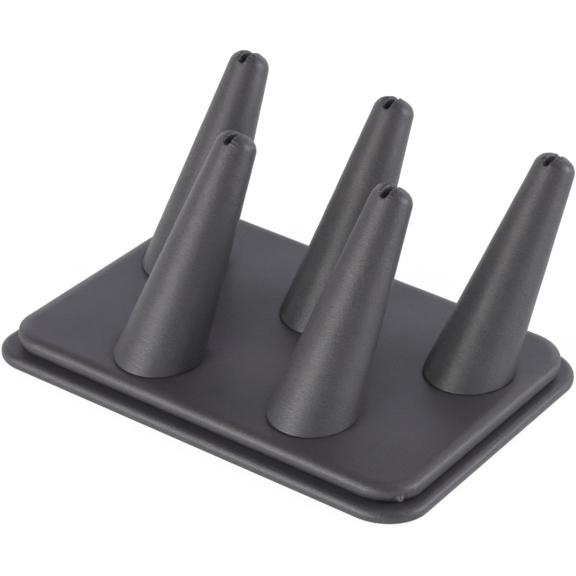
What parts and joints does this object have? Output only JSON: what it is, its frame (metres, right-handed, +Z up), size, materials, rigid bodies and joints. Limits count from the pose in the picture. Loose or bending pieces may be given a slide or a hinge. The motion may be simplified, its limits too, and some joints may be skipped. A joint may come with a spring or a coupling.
{
  "type": "ring display stand",
  "caption": "Ring display stand: a stepped padded base wrapped in dark grey leather cloth, with leaning cone fingers slotted at the tip, in two staggered rows.",
  "frame": {"origin": "middle of the base, on the surface that the stand rests on", "axes": "+X along the long front edge, +Y towards the back, +Z up"},
  "size_m": [0.1424, 0.1111, 0.0684],
  "materials": {
    "leather_cloth": "satin, fine cross grain",
    "fibreboard": "plain pressed fibreboard",
    "turned_wood": "turned, unfinished",
    "foam": "soft open foam",
    "felt": "short matt pile",
    "steel": "plain"
  },
  "bodies": {
    "root": {"back_left_core": "turned_wood", "back_left_sleeve": "leather_cloth", "back_middle_core": "turned_wood", "back_middle_sleeve": "leather_cloth", "back_right_core": "turned_wood", "back_right_sleeve": "leather_cloth", "base_felt": "felt", "finger_screws": "steel", "foam_pad": "foam", "front_left_core": "turned_wood", "front_left_sleeve": "leather_cloth", "front_right_core": "turned_wood", "front_right_sleeve": "leather_cloth", "lower_board": "fibreboard", "lower_cover": "leather_cloth", "upper_board": "fibreboard", "upper_cover": "leather_cloth"}
  },
  "joints": []
}
